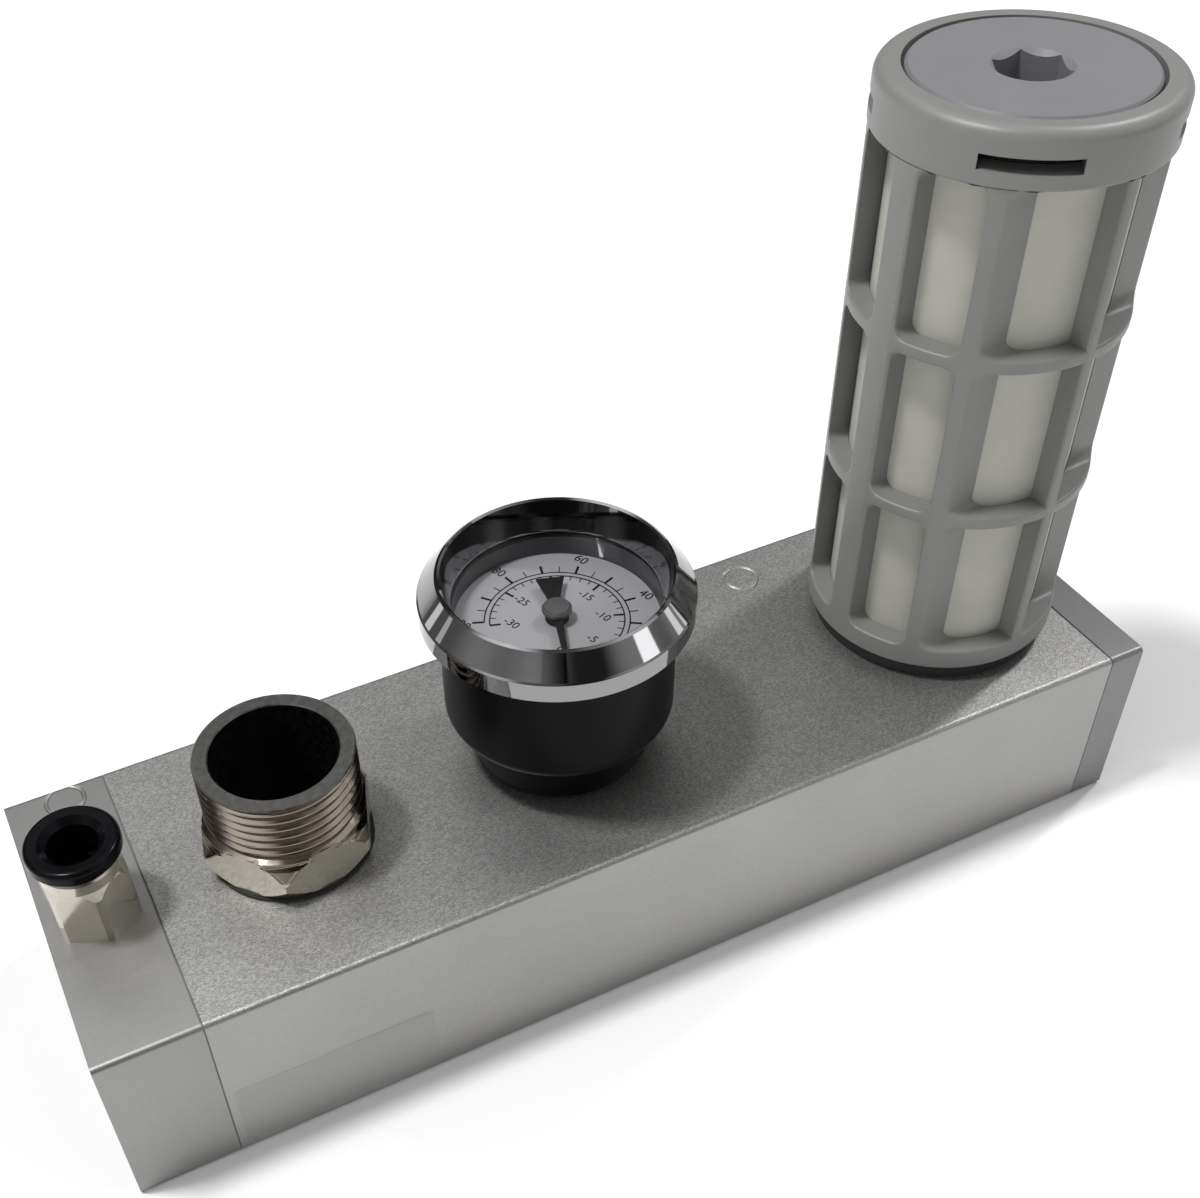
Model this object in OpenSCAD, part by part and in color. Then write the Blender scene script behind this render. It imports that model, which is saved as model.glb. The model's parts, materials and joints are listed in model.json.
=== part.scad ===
// Multi-stage vacuum ejector: an aluminium body with a push-in air inlet,
// a male-threaded vacuum nipple, a dial gauge and an exhaust silencer,
// all on one centreline. Compressed air enters at -X, exhaust leaves at +X.
// Origin at the centre of the underside, +Z up, millimetres.

/* [Body] */
// Overall length, inlet block to end plate
body_l = 200; // [185:1:240]
// Overall width
body_w = 60; // [58:1:70]
// Overall height
body_h = 36.5; // [36:0.5:44]
// Thickness of the inlet block along the body
inlet_block_t = 17.5; // [17:0.5:20]
// Thickness of the end plate along the body
end_plate_t = 7.2; // [7:0.1:10]
// Radius of the four long edges
edge_round = 1; // [0.4:0.1:1.4]
// Thickness of the gaskets between body and end parts
gasket_t = 0.2; // [0.2:0.05:0.5]

/* [Body channels] */
// Width of both channels
channel_w = 36; // [34:1:38]
// Height of the lower channel, which holds the nozzles
nozzle_channel_h = 11.5; // [11.5:0.5:12.5]
// Floor under the lower channel
floor_t = 4; // [3:0.5:4]
// Web between the channels
web_t = 2.5; // [2:0.1:3]
// Roof over the upper channel, where the fittings screw in
roof_t = 7; // [6:0.5:8]

/* [Air inlet fitting] */
// Hexagon across flats
inlet_hex_af = 13; // [13:0.5:15]
// Outside diameter of the tube that pushes in
inlet_tube_d = 8; // [6:0.5:8]
// Diameter of the release button
release_d = 15.2; // [14:0.2:16]
// Height of the release button above the body
release_top = 17.55; // [17:0.05:18.5]
// Travel of the release button
release_travel = 1.2; // [0.8:0.1:1.2]

/* [Vacuum nipple] */
// Outside diameter of the male thread
nipple_thread_d = 26.44; // [24:0.01:27]
// Bore through the nipple
nipple_bore_d = 21.1; // [17:0.1:22]
// Hexagon across flats
nipple_hex_af = 27; // [27:0.5:30]
// Height above the body
nipple_h = 21.1; // [19:0.1:26]
// Distance from the inlet block's seam to the nipple's axis
nipple_inset = 25; // [20:0.5:28]

/* [Gauge] */
// Largest diameter, at the bezel rim
bezel_d = 45.8; // [44:0.2:48]
// Height of the bezel ridge above the body
gauge_h = 38.6; // [37:0.1:44]
// Case diameter
case_d = 39.6; // [39:0.1:40.6]
// Diameter of the neck under the case
neck_d = 31; // [28:0.5:33]
// Position along the body, from its middle
gauge_x = -6.7; // [-8:0.1:4]
// Bearing angle of the pointer at zero
zero_angle = -109; // [-180:1:0]
// Sweep of the scale
scale_sweep = 267; // [180:1:270]

/* [Silencer] */
// Outside diameter of the cage
cage_d = 45.4; // [44:0.2:47]
// Outside diameter of the cap ring
cap_ring_d = 45.8; // [45.4:0.2:48]
// Height above the body
silencer_h = 102.7; // [102:0.1:130]
// Distance from the silencer's axis to the end of the body
silencer_inset = 27.4; // [26:0.1:34]
// Rows of windows
window_rows = 3; // [1:1:3]
// Height of one window
window_h = 27.4; // [20:0.1:27.4]
// Height of a ring between two rows
window_ring = 2.2; // [2:0.1:4]
// Turn of the cage about its own axis
cage_turn = 5.5; // [0:0.5:45]

/* [Mounting] */
// Hole spacing along the body
mount_dx = 120; // [100:1:120]
// Hole spacing across the body
mount_dy = 47; // [46:1:48]
// Diameter of the tapped holes in the underside
mount_hole_d = 5; // [4:0.5:5]
// Depth of the tapped holes
mount_hole_l = 9; // [6:0.5:12]

/* [Hidden] */
$fn = 64;
eps = 0.01;
fit = 0.05;
top = body_h;
seam_l = -body_l / 2 + inlet_block_t;
seam_r = body_l / 2 - end_plate_t;
body_x0 = seam_l + gasket_t / 2;
body_x1 = seam_r - gasket_t / 2;
nozzle_z = floor_t + nozzle_channel_h / 2;
web_z = floor_t + nozzle_channel_h;
gallery_z = web_z + web_t;
gallery_h = body_h - roof_t - gallery_z;
channel_r = 2;
gasket_inset = 0.1;

// clear film label low on the front, next to the inlet block
label_l = 35;
label_h = 15.5;
label_t = 0.15;
label_x = seam_l + 1.5;
label_z = 1.6;

// end screws, four at each end
screw_y = 24;
screw_z0 = 8;
screw_z1 = body_h - 8;
screw_d = 4;
screw_head_d = 7;
screw_head_h = 4;
screw_l = 20;
end_screw_l = 16;
screw_key = 3.5;
counterbore = 4.5;
screw_head_gap = 0.2;
inlet_screw_end = -body_l / 2 + counterbore + screw_l;
plate_screw_end = body_l / 2 - counterbore - end_screw_l;

// fittings along the body
nipple_x = seam_l + nipple_inset;
silencer_x = body_l / 2 - silencer_inset;

// nozzles along the body, each with a gap before the next one
nozzle_gap = 3;
supply_reach = 18.5;
stage_l = 26;
jet_tip_x = seam_l + supply_reach;
second_x = [jet_tip_x + nozzle_gap, jet_tip_x + nozzle_gap + stage_l];
third_x = [second_x[1] + nozzle_gap, second_x[1] + nozzle_gap + stage_l];
partition_x = silencer_x - 22.6;
outlet_x = [third_x[1] + nozzle_gap, partition_x - 5];
supply_r = 4.8;
supply_flange_r = 5.6;
supply_seat = 8;
supply_bore_r = 2.8;
jet_r = 0.9;
second_r = 3.6;
third_r = 4;
outlet_r = 4.8;

// plates that hold the nozzles, and valves in the web between them
plate_t = 4;
plate_x = [second_x[0] + 11, third_x[0] + 11, outlet_x[0] + 17];
valve_d = 13;
valve_t = 0.8;
valve_gap = 1.5;
valve_x = [plate_x[0] + plate_t + valve_d / 2 + valve_gap, outlet_x[0] + valve_d / 2 + valve_gap];
valve_stem_d = 2.9;
valve_head_d = 4.4;
valve_head_h = 2.2;
port_d = 3;
port_ring_r = 4;
open_port_d = 9;
open_port_x = seam_l + 14.5;
exhaust_slot_l = 30;
exhaust_slot_w = 24;

// inlet fitting
inlet_x = (-body_l / 2 + seam_l) / 2;
inlet_hex_z = 11.5;
inlet_hex_drop = 1.8;
inlet_corner_r = inlet_hex_af / sqrt(3) - 0.3;
inlet_hex_turn = -24;
inlet_thread_d = 9.73;
inlet_thread_l = 7;
inlet_bore_r = 3;
tube_stop_z = 3;
tube_seal_r = inlet_tube_d / 2 + 1.4;
tube_seal_z = 6.6;
tube_seal_t = 2;
grab_z = 9.4;
grab_r = inlet_tube_d / 2 + 1.85;
grab_t = 0.4;
housing_r = inlet_hex_af / 2;
collar_z0 = 12.6;
collar_z1 = 13.6;
release_rim = 2.5;
tube_r = inlet_tube_d / 2 + 0.05;
sleeve_wall = 1.15;
sleeve_r = tube_r + 0.1 + sleeve_wall;
sleeve_gap = 0.08;
sleeve_lip_r = sleeve_r + 0.35;

// nipple
nipple_hex_z0 = 0.6;
nipple_hex_z1 = 10;
nipple_hex_drop = 4.5;
nipple_hex_foot = 3.4;
nipple_corner_r = nipple_hex_af / sqrt(3) - 0.1;
nipple_rim = 0.35;
nipple_hex_turn = 10;
nipple_stub = 6.6;

// gauge levels above the body
dial_z = 28;
glass_z = 31.5;
glass_t = 1.2;
case_z = 9.5;
case_wall = 1;
flange_z0 = gauge_h - 8;
flange_z1 = gauge_h - 4;
ridge_r = bezel_d / 2 - 3.65;
funnel_r = 17.4;
neck_z = 0.8;
neck_wall = 1.5;
case_floor = 1.5;
case_round = 2.4;
dial_t = 0.4;
socket_d = 13.16;
socket_hex_r = 8;
socket_port_r = 1.5;
block_z = case_z + 2;
block_h = 4.5;
block_w = 8;
block_l = 20;
shaft_r = 0.6;

// gauge works between the case floor and the dial
bourdon_r = case_d / 2 - 5.8;
bourdon_t = 2;
bourdon_h = 5;
frame_l = 18;
frame_w = 12;
frame_t = 1.2;
frame_z0 = block_z + block_h;
frame_z1 = frame_z0 + 6.5;
pillar_x = 7;
pinion_r = 2;
pointer_l = 14.5;
tail_l = 8.8;
pointer_z = dial_z + 1.3;
boss_r = 2;
pointer_cap_r = 2.5;

// silencer levels above the body
cage_z = 3.1;
cage_floor = 3;
cage_wall = 3.7;
cage_bore_r = cage_d / 2 - cage_wall;
sill_z = 7.4;
cap_z = sill_z + window_rows * (window_h + window_ring) - window_ring;
cap_disc_r = 18.4;
cap_disc_t = 3.8;
cap_hex_turn = 8;
spigot_r = 13.22;
spigot_bore_r = 10.5;
spigot_flange_r = 15;
spigot_flange_t = 2;
spigot_stub = 6.8;
filter_gap = 0.1;
filter_bore_r = 15.6;
rib_side = 2.6;
rib_thin = 2.3;
window_w = 10.4;
window_corner = 2;
slot_w = 14.6;
slot_h = 2.3;
slot_z = 2.4;
seal_t = 3.9;
cap_boss_r = 9;
cap_boss_l = 6;

// ---- helpers ----

// Profile in the YZ plane, extruded from x0 to x1
module along_x(x0, x1) {
    translate([x0, 0, 0]) rotate([90, 0, 90]) linear_extrude(x1 - x0) children();
}

// Turned shape about an axis along X at the height of the nozzles;
// the profile is drawn with x as radius and y as distance along the body
module turned_x() {
    translate([0, 0, nozzle_z]) rotate([0, 90, 0]) rotate_extrude() children();
}

// Rectangle with round corners, centred in x, standing on y = 0
module round_rect(w, h, r) {
    translate([-w / 2 + r, 0]) square([w - 2 * r, h]);
    translate([-w / 2, r]) square([w, h - 2 * r]);
    for (x = [-w / 2 + r, w / 2 - r], y = [r, h - r]) {
        translate([x, y]) circle(r);
    }
}

// Outline of the extruded body, with rounded long edges
module body_outline(inset = 0) {
    translate([0, inset])
        round_rect(body_w - 2 * inset, body_h - 2 * inset, edge_round - inset);
}

// The four screw positions of an end face
module at_screws() {
    for (y = [-screw_y, screw_y], z = [screw_z0, screw_z1]) {
        translate([0, y, z]) children();
    }
}

// Round hole or rod along +X from x0 to x1
module rod_x(d, x0, x1) {
    translate([x0, 0, 0]) rotate([0, 90, 0]) cylinder(d = d, h = x1 - x0);
}

// Hexagon with turned corners: at the top, and at the foot where foot_rise is
// given, a steep cone cuts the corners off and leaves an arc on each flat
module turned_hex(af, z0, z1, corner_r, top_drop, foot_rise = 0) {
    flat = af / 2;
    foot = foot_rise > 0 ? [[flat, z0], [corner_r, z0 + foot_rise]] : [[corner_r, z0]];
    intersection() {
        translate([0, 0, z0]) cylinder(r = af / sqrt(3), h = z1 - z0, $fn = 6);
        rotate_extrude() polygon(concat([[0, z0]], foot, [
            [corner_r, z1 - top_drop], [flat - fit, z1], [0, z1]
        ]));
    }
}

// Ring with a square section
module ring(r_in, r_out, z0, z1) {
    translate([0, 0, z0]) difference() {
        cylinder(r = r_out, h = z1 - z0);
        translate([0, 0, -1]) cylinder(r = r_in, h = z1 - z0 + 2);
    }
}

// ---- body ----

// Shallow round groove that marks a port on the top face
module port_mark(x, y) {
    translate([x, y, top]) rotate_extrude() translate([3.3, 0.1]) circle(0.35);
}

module main_body() {
    color([0.70, 0.70, 0.69]) difference() {
        along_x(body_x0, body_x1) difference() {
            body_outline();
            translate([0, floor_t]) round_rect(channel_w, nozzle_channel_h, channel_r);
            translate([0, gallery_z]) round_rect(channel_w, gallery_h, channel_r);
        }
        // ports in the web: one open, two under valves, one long exhaust slot
        translate([open_port_x, 0, web_z - 1]) cylinder(d = open_port_d, h = web_t + 2);
        for (x = valve_x) translate([x, 0, web_z - 1]) {
            cylinder(d = valve_stem_d + 2 * fit, h = web_t + 2);
            for (a = [0 : 60 : 300]) {
                rotate(a) translate([port_ring_r, 0, 0]) cylinder(d = port_d, h = web_t + 2);
            }
        }
        translate([silencer_x - exhaust_slot_l / 2, -exhaust_slot_w / 2, web_z - 1])
            cube([exhaust_slot_l, exhaust_slot_w, web_t + 2]);
        // ports in the roof
        translate([nipple_x, 0, gallery_z + gallery_h - 1])
            cylinder(d = nipple_thread_d + 2 * fit, h = roof_t + 2);
        translate([gauge_x, 0, gallery_z + gallery_h - 1])
            cylinder(d = socket_d + 2 * fit, h = roof_t + 2);
        translate([silencer_x, 0, gallery_z + gallery_h - 1])
            cylinder(r = spigot_r + fit, h = roof_t + 2);
        // tapped holes for the end screws
        at_screws() {
            rod_x(screw_d + 2 * fit, body_x0 - 1, inlet_screw_end + 1);
            rod_x(screw_d + 2 * fit, plate_screw_end - 1, body_x1 + 1);
        }
        // tapped mounting holes in the underside
        for (x = [-mount_dx / 2, mount_dx / 2], y = [-mount_dy / 2, mount_dy / 2]) {
            translate([x, y, -1]) cylinder(d = mount_hole_d, h = mount_hole_l + 1);
        }
        port_mark(44.9, 22.9);
    }
}

module inlet_block() {
    x0 = -body_l / 2;
    x1 = seam_l - gasket_t / 2;
    color([0.66, 0.66, 0.65]) difference() {
        along_x(x0, x1) body_outline();
        // screws, with counterbored heads
        at_screws() {
            rod_x(screw_d + 2 * fit, x0 - 1, x1 + 1);
            rod_x(screw_head_d + 2 * screw_head_gap, x0 - 1, x0 + counterbore);
        }
        // inlet port: tapped hole, drilling and nozzle seat
        translate([inlet_x, 0, top - inlet_thread_l - 1])
            cylinder(d = inlet_thread_d + 2 * fit, h = inlet_thread_l + 2);
        translate([inlet_x, 0, nozzle_z])
            cylinder(r = inlet_bore_r, h = top - nozzle_z - inlet_thread_l);
        translate([0, 0, nozzle_z]) rod_x(2 * supply_r + 2 * fit, x1 - supply_seat - 1, x1 + 1);
        translate([0, 0, nozzle_z]) rod_x(2 * inlet_bore_r, inlet_x - 1, x1 - supply_seat);
        port_mark(-89.9, 26.4);
    }
}

module end_plate() {
    x0 = seam_r + gasket_t / 2;
    x1 = body_l / 2;
    color([0.66, 0.66, 0.65]) difference() {
        along_x(x0, x1) body_outline();
        at_screws() {
            rod_x(screw_d + 2 * fit, x0 - 1, x1 + 1);
            rod_x(screw_head_d + 2 * screw_head_gap, x1 - counterbore, x1 + 1);
        }
    }
}

module inlet_gasket() {
    x0 = seam_l - gasket_t / 2;
    color([0.40, 0.40, 0.38]) difference() {
        along_x(x0, x0 + gasket_t) body_outline(gasket_inset);
        at_screws() rod_x(screw_d + 0.4, x0 - 1, x0 + gasket_t + 1);
        translate([0, 0, nozzle_z])
            rod_x(2 * supply_flange_r + 2 * screw_head_gap, x0 - 1, x0 + gasket_t + 1);
    }
}

module end_gasket() {
    x0 = seam_r - gasket_t / 2;
    color([0.40, 0.40, 0.38]) difference() {
        along_x(x0, x0 + gasket_t) body_outline(gasket_inset);
        at_screws() rod_x(screw_d + 0.4, x0 - 1, x0 + gasket_t + 1);
    }
}

// Socket head screw lying along +X, head at the start
module cap_screw(l) {
    difference() {
        union() {
            rod_x(screw_head_d, -screw_head_h, 0);
            rod_x(screw_d, -1, l);
        }
        translate([-screw_head_h - 1, 0, 0]) rotate([0, 90, 0])
            cylinder(d = screw_key / cos(30), h = 1 + screw_head_h / 2, $fn = 6);
    }
}

module inlet_block_screws() {
    color([0.35, 0.35, 0.36]) at_screws()
        translate([-body_l / 2 + counterbore, 0, 0]) cap_screw(screw_l);
}

module end_plate_screws() {
    color([0.35, 0.35, 0.36]) at_screws()
        translate([body_l / 2 - counterbore, 0, 0]) mirror([1, 0, 0]) cap_screw(end_screw_l);
}

module film_label() {
    color([0.72, 0.72, 0.71]) translate([label_x + label_l / 2, -body_w / 2, label_z])
        rotate([90, 0, 0]) linear_extrude(label_t) round_rect(label_l, label_h, 1);
}

// ---- ejector stages in the lower channel ----

module supply_nozzle() {
    x1 = seam_l - gasket_t / 2;
    color([0.80, 0.66, 0.38]) turned_x() difference() {
        polygon([
            [0, x1 - supply_seat], [supply_r, x1 - supply_seat], [supply_r, x1],
            [supply_flange_r, x1], [supply_flange_r, x1 + 2.4], [supply_r - 0.4, x1 + 2.4],
            [supply_r - 0.4, x1 + 6], [jet_r + 1.3, jet_tip_x], [0, jet_tip_x]
        ]);
        polygon([
            [-1, x1 - supply_seat - 1], [supply_bore_r, x1 - supply_seat - 1],
            [supply_bore_r, x1 + 5], [jet_r, jet_tip_x - 4], [jet_r, jet_tip_x - 3],
            [jet_r + 0.4, jet_tip_x + 1], [-1, jet_tip_x + 1]
        ]);
    }
}

// Mixing nozzle: flared mouth, straight throat and widening outlet
module stage_nozzle(span, throat, mouth, outlet, r) {
    a = span[0];
    b = span[1];
    turned_x() difference() {
        translate([0, a]) square([r, b - a]);
        polygon([
            [-1, a - 1], [mouth, a - 1], [mouth, a], [throat, a + 5], [throat, a + 12],
            [outlet, b], [outlet, b + 1], [-1, b + 1]
        ]);
    }
}

module second_stage_nozzle() {
    color([0.82, 0.68, 0.40]) stage_nozzle(second_x, 1.5, 2.8, 2.0, second_r);
}

module third_stage_nozzle() {
    color([0.82, 0.68, 0.40]) stage_nozzle(third_x, 2.1, 3.2, 2.7, third_r);
}

module outlet_diffuser() {
    color([0.82, 0.68, 0.40]) stage_nozzle(outlet_x, 2.8, 4.0, 4.0, outlet_r);
}

// Plate across the lower channel that holds one nozzle
module stage_plate(x, r) {
    difference() {
        along_x(x, x + plate_t) translate([0, floor_t + fit])
            round_rect(channel_w - 2 * fit, nozzle_channel_h - 2 * fit, channel_r);
        translate([0, 0, nozzle_z]) rod_x(2 * r + 2 * fit, x - 1, x + plate_t + 1);
    }
}

module first_stage_plate() {
    color([0.62, 0.63, 0.64]) stage_plate(plate_x[0], second_r);
}

module second_stage_plate() {
    color([0.62, 0.63, 0.64]) stage_plate(plate_x[1], third_r);
}

module third_stage_plate() {
    color([0.62, 0.63, 0.64]) stage_plate(plate_x[2], outlet_r);
}

// Rubber check valve: a disc under the web with a stem snapped through it
module check_valve(x) {
    translate([x, 0, 0]) {
        translate([0, 0, web_z - valve_t]) cylinder(d = valve_d, h = valve_t);
        translate([0, 0, web_z - eps]) cylinder(d = valve_stem_d, h = web_t + 2 * eps);
        translate([0, 0, gallery_z])
            cylinder(d1 = valve_head_d, d2 = valve_head_d - 2, h = valve_head_h);
    }
}

module second_stage_valve() {
    color([0.10, 0.10, 0.10]) check_valve(valve_x[0]);
}

module third_stage_valve() {
    color([0.10, 0.10, 0.10]) check_valve(valve_x[1]);
}

module gallery_partition() {
    color([0.62, 0.63, 0.64]) along_x(partition_x, partition_x + plate_t)
        translate([0, gallery_z + fit])
            round_rect(channel_w - 2 * fit, gallery_h - 2 * fit, channel_r);
}

// ---- push-in air inlet ----

module fitting_body() {
    color([0.78, 0.74, 0.66]) translate([inlet_x, 0, top]) difference() {
        union() {
            translate([0, 0, -inlet_thread_l]) cylinder(d = inlet_thread_d, h = inlet_thread_l + 1);
            rotate(inlet_hex_turn)
                turned_hex(inlet_hex_af, 0, inlet_hex_z, inlet_corner_r, inlet_hex_drop);
            cylinder(r = housing_r, h = collar_z0);
        }
        translate([0, 0, -inlet_thread_l - 1])
            cylinder(r = inlet_bore_r, h = collar_z0 + inlet_thread_l);
        translate([0, 0, tube_stop_z]) cylinder(r = tube_r, h = collar_z0);
        translate([0, 0, tube_seal_z]) cylinder(r = tube_seal_r, h = tube_seal_t);
        translate([0, 0, grab_z]) cylinder(r = grab_r, h = collar_z0);
    }
}

module fitting_tube_seal() {
    color([0.08, 0.08, 0.08]) translate([inlet_x, 0, top])
        ring(tube_r + 0.02, tube_seal_r, tube_seal_z + 0.1, tube_seal_z + tube_seal_t - 0.1);
}

module fitting_grab_ring() {
    color([0.75, 0.75, 0.76]) translate([inlet_x, 0, top + grab_z]) difference() {
        cylinder(r = grab_r - fit, h = grab_t);
        translate([0, 0, -1]) cylinder(r = tube_r + 0.25, h = grab_t + 2);
        for (a = [0 : 45 : 315]) {
            rotate(a) translate([tube_r, -0.25, -1]) cube([1, 0.5, grab_t + 2]);
        }
    }
}

module fitting_collar() {
    color([0.80, 0.77, 0.70]) translate([inlet_x, 0, top]) rotate_extrude() polygon([
        [sleeve_r + sleeve_gap, collar_z0], [housing_r, collar_z0],
        [housing_r, collar_z1 - 0.3], [housing_r - 0.3, collar_z1],
        [sleeve_r + sleeve_gap, collar_z1]
    ]);
}

// Release button: push it down and the grab ring lets go of the tube
module release_sleeve() {
    rim0 = release_top - release_rim;
    lip1 = collar_z0 - 0.1;
    r = release_d / 2;
    edge = 0.9;
    color([0.05, 0.05, 0.055]) translate([inlet_x, 0, top]) rotate_extrude() {
        polygon([
            [tube_r + 0.1, lip1 - 1.1], [sleeve_r - 0.3, lip1 - 1.1], [sleeve_lip_r, lip1 - 0.4],
            [sleeve_lip_r, lip1], [sleeve_r, lip1], [sleeve_r, rim0], [r - 0.3, rim0],
            [r, rim0 + 0.3], [r, release_top - edge], [r - edge, release_top],
            [sleeve_r, release_top - 0.15], [tube_r + 0.1, release_top - 1.2]
        ]);
        translate([r - edge, release_top - edge]) circle(edge);
    }
}

// ---- vacuum nipple ----

module vacuum_nipple() {
    r = nipple_thread_d / 2;
    color([0.76, 0.72, 0.64]) translate([nipple_x, 0, top]) difference() {
        union() {
            translate([0, 0, -nipple_stub]) cylinder(r = r, h = nipple_stub + nipple_hex_z0);
            rotate(nipple_hex_turn) turned_hex(nipple_hex_af, nipple_hex_z0, nipple_hex_z1,
                nipple_corner_r, nipple_hex_drop, nipple_hex_foot);
            rotate_extrude() polygon([
                [0, 1], [r, 1], [r, nipple_h - nipple_rim], [r - nipple_rim, nipple_h], [0, nipple_h]
            ]);
        }
        translate([0, 0, -nipple_stub - 1]) cylinder(d = nipple_bore_d, h = nipple_h + nipple_stub + 2);
        translate([0, 0, nipple_h - 0.5])
            cylinder(d1 = nipple_bore_d, d2 = nipple_bore_d + 1.2, h = 0.6);
    }
}

module nipple_seal() {
    color([0.08, 0.08, 0.08]) translate([nipple_x, 0, top])
        ring(nipple_thread_d / 2 + 0.02, nipple_thread_d / 2 + 0.8, 0, nipple_hex_z0);
}

// ---- gauge ----

module at_gauge() {
    translate([gauge_x, 0, top]) children();
}

module gauge_seal() {
    color([0.08, 0.08, 0.08]) at_gauge()
        ring(socket_d / 2 + 0.02, socket_hex_r + 2, 0, neck_z);
}

module gauge_socket() {
    color([0.80, 0.66, 0.38]) at_gauge() difference() {
        union() {
            translate([0, 0, -roof_t]) cylinder(d = socket_d, h = roof_t + block_z / 2);
            translate([0, 0, neck_z + neck_wall])
                cylinder(r = socket_hex_r, h = block_z - neck_z - neck_wall + 1, $fn = 6);
            translate([-block_w / 2, block_w / 2 - block_l, block_z])
                cube([block_w, block_l, block_h]);
        }
        translate([0, 0, -roof_t - 1]) cylinder(r = socket_port_r, h = roof_t + block_z + 3);
        translate([0, eps, block_z + 1.5]) rotate([90, 0, 0])
            cylinder(r = 1, h = bourdon_r - 1);
    }
}

// Curved pressure tube: it uncurls as the pressure falls
module bourdon_tube() {
    r = bourdon_t / 2;
    color([0.78, 0.60, 0.34]) at_gauge() translate([0, 0, frame_z0])
        rotate(-90) rotate_extrude(angle = 250) translate([bourdon_r, 0]) {
            translate([-r, r]) square([bourdon_t, bourdon_h - bourdon_t]);
            translate([0, r]) circle(r);
            translate([0, bourdon_h - r]) circle(r);
        }
}

module gauge_movement() {
    color([0.80, 0.68, 0.42]) at_gauge() difference() {
        union() {
            for (z = [frame_z0, frame_z1]) {
                translate([-frame_l / 2, -frame_w / 2, z]) cube([frame_l, frame_w, frame_t]);
            }
            for (x = [-pillar_x, pillar_x]) {
                translate([x, frame_w / 4, frame_z0]) cylinder(r = 1.2, h = frame_z1 - frame_z0 + 1);
                translate([x, -frame_w / 4, frame_z1])
                    cylinder(r = 0.9, h = dial_z - dial_t - frame_z1);
            }
        }
        translate([0, 0, frame_z0 - 1]) cylinder(r = shaft_r + fit, h = frame_z1 - frame_z0 + 4);
    }
}

// Pressed cup with a moulded neck under it
module gauge_case() {
    r = case_d / 2;
    n = neck_d / 2;
    s = socket_d / 2 + 0.1;
    color([0.045, 0.045, 0.05]) at_gauge() rotate_extrude() difference() {
        union() {
            translate([s, neck_z]) square([n - 1 - s, neck_wall]);
            translate([s, neck_z + 1]) square([n - s, case_z - neck_z]);
            translate([n - 1, neck_z + 1]) circle(1);
            translate([s, case_z]) square([r - case_round - s, case_round]);
            translate([r - case_round, case_z + case_round]) circle(case_round);
            translate([s, case_z + case_round])
                square([r - s, glass_z + glass_t - case_z - case_round]);
        }
        translate([0, neck_z + neck_wall]) square([n - neck_wall, case_z]);
        translate([0, case_z + case_floor]) square([r - 2 * case_wall, gauge_h]);
        translate([0, dial_z - dial_t]) square([r - case_wall, gauge_h]);
    }
}

module gauge_dial() {
    color([0.93, 0.93, 0.93]) at_gauge() difference() {
        translate([0, 0, dial_z - dial_t])
            cylinder(r = case_d / 2 - case_wall - fit, h = dial_t);
        translate([0, 0, dial_z - 2]) cylinder(r = shaft_r + 0.5, h = 4);
    }
}

module gauge_spacer() {
    color([0.07, 0.07, 0.075]) at_gauge()
        ring(funnel_r - 0.1, case_d / 2 - case_wall - fit, dial_z, glass_z);
}

module gauge_glass() {
    color([0.85, 0.92, 0.95, 0.3]) at_gauge() translate([0, 0, glass_z])
        cylinder(r = case_d / 2 - case_wall - fit, h = glass_t);
}

// Turned bezel: a rim band, a slope up to the ridge and a funnel inside
module gauge_bezel() {
    rim = bezel_d / 2;
    lip = glass_z + glass_t;
    color([0.62, 0.62, 0.63]) at_gauge() rotate_extrude() polygon([
        [case_d / 2 + 0.02, flange_z0], [rim - 0.4, flange_z0], [rim, flange_z0 + 0.4],
        [rim, flange_z1 - 0.3], [rim - 0.3, flange_z1], [ridge_r + 0.5, gauge_h - 0.3],
        [ridge_r, gauge_h], [ridge_r - 0.35, gauge_h - 0.3], [funnel_r, lip + 0.4],
        [funnel_r, lip], [case_d / 2 + 0.02, lip]
    ]);
}

// Needle, flared tail, boss, shaft and pinion turn together
module gauge_pointer() {
    color([0.03, 0.03, 0.03]) at_gauge() {
        rotate(zero_angle) translate([0, 0, pointer_z]) linear_extrude(0.4) {
            polygon([[0, -0.75], [pointer_l, -0.3], [pointer_l, 0.3], [0, 0.75]]);
            polygon([
                [0, -0.9], [-tail_l / 2, -1.2], [-tail_l, -2.4], [-tail_l, 2.4],
                [-tail_l / 2, 1.2], [0, 0.9]
            ]);
        }
        translate([0, 0, dial_z + 0.15]) cylinder(r = boss_r, h = pointer_z + 0.55 - dial_z);
        translate([0, 0, frame_z0 + 0.2]) cylinder(r = shaft_r, h = pointer_z - frame_z0);
        translate([0, 0, (frame_z0 + frame_z1) / 2 - 1]) cylinder(r = pinion_r, h = 2);
    }
}

module pointer_cap() {
    r = pointer_cap_r;
    color([0.42, 0.43, 0.42]) at_gauge() translate([0, 0, pointer_z + 0.7])
        rotate_extrude() polygon([[0, 0], [r, 0], [r, 0.5], [r - 0.45, 1], [0, 1.15]]);
}

// ---- silencer ----

module at_silencer() {
    translate([silencer_x, 0, top]) children();
}

module silencer_gasket() {
    color([0.06, 0.06, 0.06]) at_silencer() ring(spigot_r + 0.05, cage_d / 2 - 1.4, 0, cage_z);
}

module silencer_spigot() {
    color([0.70, 0.68, 0.62]) at_silencer() difference() {
        union() {
            translate([0, 0, -spigot_stub])
                cylinder(r = spigot_r, h = spigot_stub + cage_z + cage_floor + 0.2);
            translate([0, 0, cage_z + cage_floor])
                cylinder(r = spigot_flange_r, h = spigot_flange_t);
        }
        translate([0, 0, -spigot_stub - 1]) cylinder(r = spigot_bore_r, h = silencer_h / 2);
    }
}

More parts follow.
